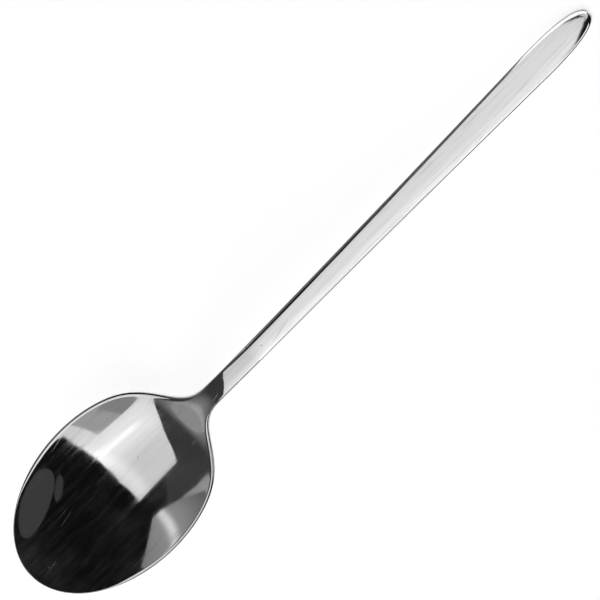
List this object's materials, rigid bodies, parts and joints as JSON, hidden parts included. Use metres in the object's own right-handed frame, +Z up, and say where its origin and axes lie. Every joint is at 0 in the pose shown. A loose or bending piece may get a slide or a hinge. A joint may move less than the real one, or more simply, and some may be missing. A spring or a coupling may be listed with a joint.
{
  "type": "teaspoon",
  "caption": "Slim polished steel teaspoon with an oval dished bowl, a raised narrow neck and a long handle that widens to a rounded end.",
  "frame": {"origin": "on the table, midway along the length and on the centre line", "axes": "+X along the handle away from the bowl, +Y to the left of someone who holds the handle and looks towards +X, +Z up out of the bowl"},
  "size_m": [0.14, 0.0288, 0.0126],
  "materials": {
    "polished_steel": "mirror polished, with fine polishing lines"
  },
  "bodies": {
    "root": {"bowl": "polished_steel", "neck": "polished_steel", "stem": "polished_steel", "terminal": "polished_steel"}
  },
  "joints": []
}
